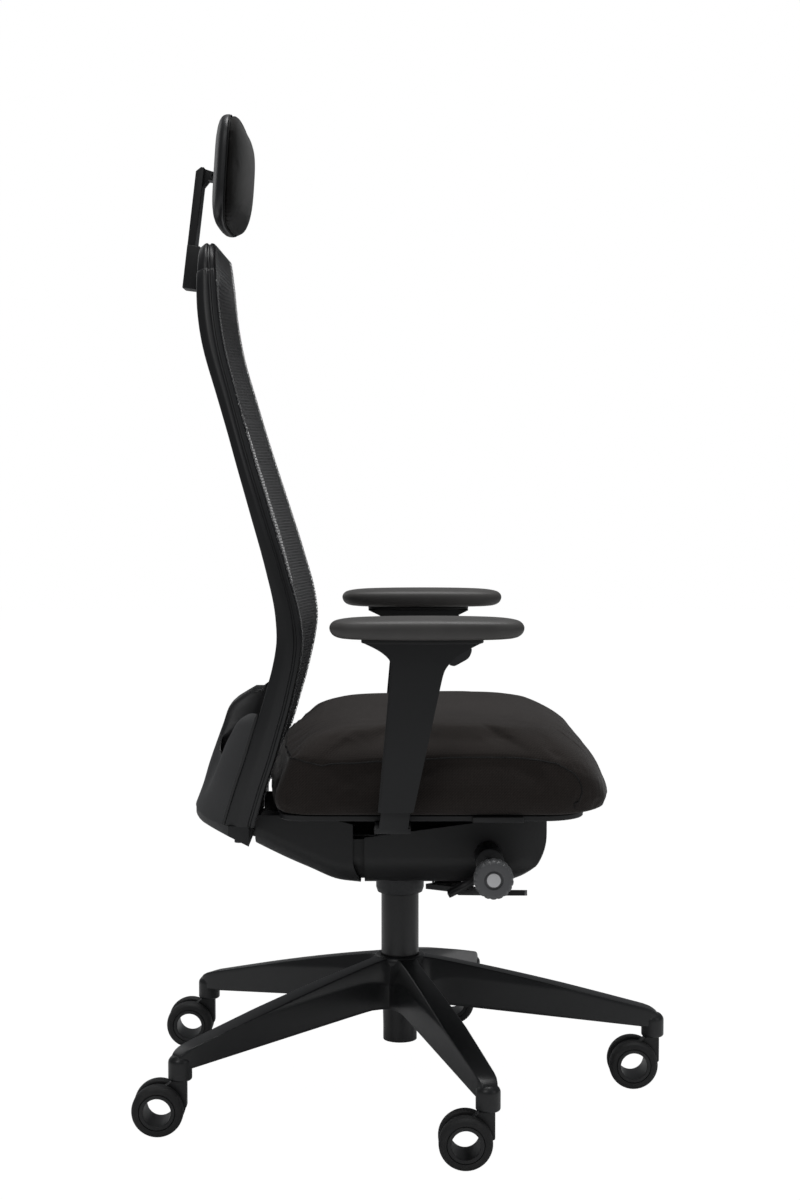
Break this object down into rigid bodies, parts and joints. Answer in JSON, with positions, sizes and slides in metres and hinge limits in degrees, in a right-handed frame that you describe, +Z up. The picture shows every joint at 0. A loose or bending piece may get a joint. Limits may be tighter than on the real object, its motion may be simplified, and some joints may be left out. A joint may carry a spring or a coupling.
{
  "type": "high back office chair",
  "caption": "High back swivel office chair with mesh back, headrest, adjustable armrests, padded sliding seat, synchronous tilt, gas lift column and castor base.",
  "frame": {"origin": "on the floor under the column's axis", "axes": "+Z up, +X forward the way the sitter faces, +Y to the sitter's left"},
  "size_m": [0.6896, 0.6968, 1.2812],
  "materials": {
    "base_black": "satin moulded black",
    "castor_body": "satin moulded black",
    "castor_tread": "matt black",
    "steel_black": "black paint, satin",
    "steel_bright": "plain steel",
    "cast_alloy": "cast, painted dark",
    "shroud_black": "fine grain black",
    "frame_black": "satin black",
    "grey_plastic": "satin mid grey",
    "cap_light": "light grey, plain",
    "bush_plastic": "natural acetal",
    "seat_fabric": "close woven, dark",
    "mesh_fabric": "open knitted mesh, dark",
    "head_fabric": "smooth covered foam, dark",
    "pad_soft": "soft-touch, dark"
  },
  "bodies": {
    "base": {"star_base": "base_black", "castor_stems": "steel_bright", "column_tube": "steel_black", "column_bush": "bush_plastic", "thrust_bearing": "steel_bright", "rod_clip": "steel_bright"},
    "castor_1": {"castor_frame_1": "castor_body"},
    "castor_1_wheels": {"castor_wheels_1": "castor_tread"},
    "castor_2": {"castor_frame_2": "castor_body"},
    "castor_2_wheels": {"castor_wheels_2": "castor_tread"},
    "castor_3": {"castor_frame_3": "castor_body"},
    "castor_3_wheels": {"castor_wheels_3": "castor_tread"},
    "castor_4": {"castor_frame_4": "castor_body"},
    "castor_4_wheels": {"castor_wheels_4": "castor_tread"},
    "castor_5": {"castor_frame_5": "castor_body"},
    "castor_5_wheels": {"castor_wheels_5": "castor_tread"},
    "rod": {"piston_rod": "steel_bright"},
    "chassis": {"gas_cylinder": "steel_black", "mechanism_housing": "cast_alloy", "tension_springs": "steel_bright", "back_pivot_pins": "steel_bright", "tilt_pin": "steel_bright", "front_shroud": "shroud_black", "lever_pin": "steel_bright"},
    "valve_pin": {"release_pin": "steel_bright"},
    "height_lever": {"height_lever": "shroud_black"},
    "tension": {"tension_shaft": "steel_bright", "tension_knob": "grey_plastic", "knob_cap": "cap_light"},
    "lock": {"lock_paddle": "shroud_black"},
    "seat_frame": {"seat_frame": "steel_black", "seat_screws": "steel_bright", "arm_bracket_right": "steel_black", "arm_bracket_left": "steel_black"},
    "seat": {"seat_pan": "shroud_black", "seat_cushion": "seat_fabric"},
    "depth_latch": {"depth_latch": "shroud_black"},
    "back": {"back_carrier": "shroud_black", "rear_shroud": "shroud_black", "back_shell": "frame_black", "back_frame": "frame_black", "back_mesh": "mesh_fabric", "back_bolts": "steel_bright", "stalk_holder": "shroud_black"},
    "arm_right": {"arm_upright_right": "frame_black", "pad_plate_right": "shroud_black"},
    "arm_right_button": {"arm_button_right": "grey_plastic"},
    "arm_right_pad": {"arm_pad_right": "pad_soft"},
    "arm_left": {"arm_upright_left": "frame_black", "pad_plate_left": "shroud_black"},
    "arm_left_button": {"arm_button_left": "grey_plastic"},
    "arm_left_pad": {"arm_pad_left": "pad_soft"},
    "head_stalk": {"head_stalk": "frame_black", "head_pivot": "steel_bright"},
    "headrest": {"head_shell": "grey_plastic", "head_pad": "head_fabric"}
  },
  "joints": [
    {"name": "castor_1_swivel", "type": "hinge", "parent": "base", "child": "castor_1", "pos_m": [0.10507, -0.32336, 0.06], "axis": [0, 0, 1], "continuous": true},
    {"name": "castor_1_roll", "type": "hinge", "parent": "castor_1", "child": "castor_1_wheels", "pos_m": [0.07807, -0.32336, 0.0325], "axis": [0, 1, 0], "continuous": true},
    {"name": "castor_2_swivel", "type": "hinge", "parent": "base", "child": "castor_2", "pos_m": [0.34, 0, 0.06], "axis": [0, 0, 1], "continuous": true},
    {"name": "castor_2_roll", "type": "hinge", "parent": "castor_2", "child": "castor_2_wheels", "pos_m": [0.313, 0, 0.0325], "axis": [0, 1, 0], "continuous": true},
    {"name": "castor_3_swivel", "type": "hinge", "parent": "base", "child": "castor_3", "pos_m": [0.10507, 0.32336, 0.06], "axis": [0, 0, 1], "continuous": true},
    {"name": "castor_3_roll", "type": "hinge", "parent": "castor_3", "child": "castor_3_wheels", "pos_m": [0.07807, 0.32336, 0.0325], "axis": [0, 1, 0], "continuous": true},
    {"name": "castor_4_swivel", "type": "hinge", "parent": "base", "child": "castor_4", "pos_m": [-0.27507, 0.19985, 0.06], "axis": [0, 0, 1], "continuous": true},
    {"name": "castor_4_roll", "type": "hinge", "parent": "castor_4", "child": "castor_4_wheels", "pos_m": [-0.30207, 0.19985, 0.0325], "axis": [0, 1, 0], "continuous": true},
    {"name": "castor_5_swivel", "type": "hinge", "parent": "base", "child": "castor_5", "pos_m": [-0.27507, -0.19985, 0.06], "axis": [0, 0, 1], "continuous": true},
    {"name": "castor_5_roll", "type": "hinge", "parent": "castor_5", "child": "castor_5_wheels", "pos_m": [-0.30207, -0.19985, 0.0325], "axis": [0, 1, 0], "continuous": true},
    {"name": "column_swivel", "type": "hinge", "parent": "base", "child": "rod", "pos_m": [0, 0, 0.07], "axis": [0, 0, 1], "continuous": true},
    {"name": "height_slide", "type": "slide", "parent": "rod", "child": "chassis", "axis": [0, 0, 1], "range_m": [0, 0.1]},
    {"name": "lever_rock", "type": "hinge", "parent": "chassis", "child": "height_lever", "pos_m": [0.064, -0.024, 0.279], "axis": [-1, 0, 0], "range_deg": [0, 6], "stiffness_Nm_per_rad": 1.5, "springref_deg": -20.05},
    {"name": "valve_press", "type": "slide", "parent": "chassis", "child": "valve_pin", "axis": [0, 0, -1], "range_m": [0, 0.0025]},
    {"name": "tension_turn", "type": "hinge", "parent": "chassis", "child": "tension", "pos_m": [0.1136, 0, 0.3337], "axis": [0, 1, 0], "range_deg": [-1080, 1080]},
    {"name": "lock_turn", "type": "hinge", "parent": "chassis", "child": "lock", "pos_m": [0.1136, -0.212, 0.3337], "axis": [0, 1, 0], "range_deg": [0, 30]},
    {"name": "recline", "type": "hinge", "parent": "chassis", "child": "back", "pos_m": [-0.024, 0, 0.322], "axis": [0, -1, 0], "range_deg": [0, 20]},
    {"name": "seat_tilt", "type": "hinge", "parent": "chassis", "child": "seat_frame", "pos_m": [0.116, 0, 0.366], "axis": [0, -1, 0], "range_deg": [0, 7.5]},
    {"name": "seat_depth", "type": "slide", "parent": "seat_frame", "child": "seat", "axis": [1, 0, 0], "range_m": [0, 0.05]},
    {"name": "depth_release", "type": "slide", "parent": "seat", "child": "depth_latch", "axis": [0, -1, 0], "range_m": [0, 0.006], "stiffness_N_per_m": 400, "springref_m": -0.004},
    {"name": "arm_right_height", "type": "slide", "parent": "seat_frame", "child": "arm_right", "axis": [0.1478, 0, 0.989], "range_m": [0, 0.08]},
    {"name": "arm_right_button_press", "type": "slide", "parent": "arm_right", "child": "arm_right_button", "axis": [0, 0, 1], "range_m": [0, 0.003], "stiffness_N_per_m": 400, "springref_m": -0.003},
    {"name": "arm_right_pad_slide", "type": "slide", "parent": "arm_right", "child": "arm_right_pad", "axis": [1, 0, 0], "range_m": [-0.02, 0.02]},
    {"name": "arm_left_height", "type": "slide", "parent": "seat_frame", "child": "arm_left", "axis": [0.1478, 0, 0.989], "range_m": [0, 0.08]},
    {"name": "arm_left_button_press", "type": "slide", "parent": "arm_left", "child": "arm_left_button", "axis": [0, 0, 1], "range_m": [0, 0.003], "stiffness_N_per_m": 400, "springref_m": -0.003},
    {"name": "arm_left_pad_slide", "type": "slide", "parent": "arm_left", "child": "arm_left_pad", "axis": [1, 0, 0], "range_m": [-0.02, 0.02]},
    {"name": "head_height", "type": "slide", "parent": "back", "child": "head_stalk", "axis": [0.1219, 0, 0.9925], "range_m": [0, 0.04]},
    {"name": "head_tilt", "type": "hinge", "parent": "head_stalk", "child": "headrest", "pos_m": [-0.24298, 0, 1.2107], "axis": [0, 1, 0], "range_deg": [-20, 8]}
  ],
  "couplings": [
    {"joint": "seat_tilt", "follows": "recline", "ratio": 0.36},
    {"joint": "valve_press", "follows": "lever_rock", "m_per_rad": 0.02292}
  ]
}
